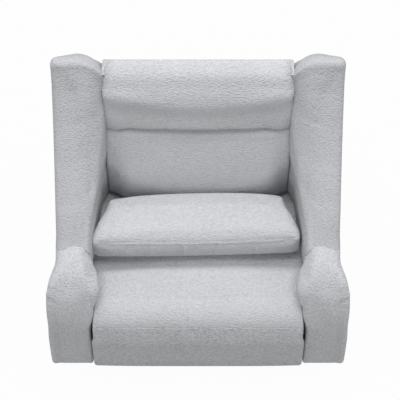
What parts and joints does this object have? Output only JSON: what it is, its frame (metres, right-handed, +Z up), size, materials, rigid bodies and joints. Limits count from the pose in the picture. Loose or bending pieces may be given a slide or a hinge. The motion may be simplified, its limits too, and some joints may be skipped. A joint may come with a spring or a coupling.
{
  "type": "swivel recliner",
  "caption": "Upholstered wingback armchair on a round swivel base that reclines when pushed back while its front panel swings up as a footrest, with a loose lumbar pillow.",
  "frame": {"origin": "on the floor under the swivel axis, at the centre of the chair's footprint", "axes": "+Z up along the swivel axis, the chair faces -Y, +X to the right seen from the front"},
  "size_m": [0.872, 0.68, 1.028],
  "materials": {
    "upholstery": "light grey curly pile",
    "dust_cloth": "black non-woven cloth",
    "strap_webbing": "woven elastic",
    "frame_wood": "plain plywood and pine",
    "black_steel": "black powder coat",
    "zinc_steel": "zinc plated",
    "bearing_steel": "ground",
    "spring_steel": "oiled spring wire",
    "glide_rubber": "matt"
  },
  "bodies": {
    "base": {"floor_glide_ring": "glide_rubber", "base_plate": "black_steel", "base_hub": "black_steel", "lower_bearing_race": "bearing_steel", "bearing_rollers": "bearing_steel", "swivel_spindle": "zinc_steel"},
    "carriage": {"upper_bearing_race": "bearing_steel", "turntable": "black_steel", "turntable_bolts": "zinc_steel", "front_cross_tube": "black_steel", "rear_cross_tube": "black_steel", "front_cross_rail": "frame_wood", "rear_cross_rail": "frame_wood", "front_spring_rail": "frame_wood", "rear_spring_rail": "frame_wood", "seat_springs": "spring_steel", "dust_cover": "dust_cloth", "seat_cushion": "upholstery", "footrest_pins": "zinc_steel", "arm_bolts": "zinc_steel", "right_side_plate": "black_steel", "left_side_plate": "black_steel", "right_seat_rail": "frame_wood", "left_seat_rail": "frame_wood", "right_arm_frame": "frame_wood", "left_arm_frame": "frame_wood", "right_arm": "upholstery", "left_arm": "upholstery"},
    "footrest": {"footrest_board": "frame_wood", "footrest_pad": "upholstery", "footrest_crank_pins": "zinc_steel", "right_footrest_arm": "black_steel", "left_footrest_arm": "black_steel"},
    "tie_rods": {"right_tie_rod": "black_steel", "left_tie_rod": "black_steel"},
    "back": {"recline_pins": "zinc_steel", "back_crank_pins": "zinc_steel", "back_bottom_rail": "frame_wood", "back_middle_rail": "frame_wood", "back_top_rail": "frame_wood", "right_back_post": "frame_wood", "left_back_post": "frame_wood", "back_straps": "strap_webbing", "lower_back_cushion": "upholstery", "headrest_cushion": "upholstery", "back_panel": "upholstery", "right_back_bracket": "black_steel", "left_back_bracket": "black_steel", "right_back_rib": "frame_wood", "left_back_rib": "frame_wood", "right_wing_frame": "frame_wood", "left_wing_frame": "frame_wood", "right_wing": "upholstery", "left_wing": "upholstery"},
    "pillow": {"lumbar_pillow": "upholstery"}
  },
  "joints": [
    {"name": "swivel", "type": "hinge", "parent": "base", "child": "carriage", "pos_m": [0, 0, 0.056], "axis": [0, 0, 1], "continuous": true},
    {"name": "recline", "type": "hinge", "parent": "carriage", "child": "back", "pos_m": [0, 0.16, 0.33], "axis": [-1, 0, 0], "range_deg": [0, 38]},
    {"name": "footrest_lift", "type": "hinge", "parent": "carriage", "child": "footrest", "pos_m": [0, -0.256, 0.345], "axis": [-1, 0, 0], "range_deg": [0, 85]},
    {"name": "tie_rod_swing", "type": "hinge", "parent": "footrest", "child": "tie_rods", "pos_m": [0, -0.22668, 0.313], "axis": [-1, 0, 0], "range_deg": [-85, 0]},
    {"name": "pillow_lift", "type": "slide", "parent": "carriage", "child": "pillow", "axis": [0, -0.6, 0.8], "range_m": [0, 0.6]}
  ],
  "couplings": [
    {"joint": "footrest_lift", "follows": "recline", "ratio": 2.2368},
    {"joint": "tie_rod_swing", "follows": "recline", "ratio": -2.2368}
  ]
}
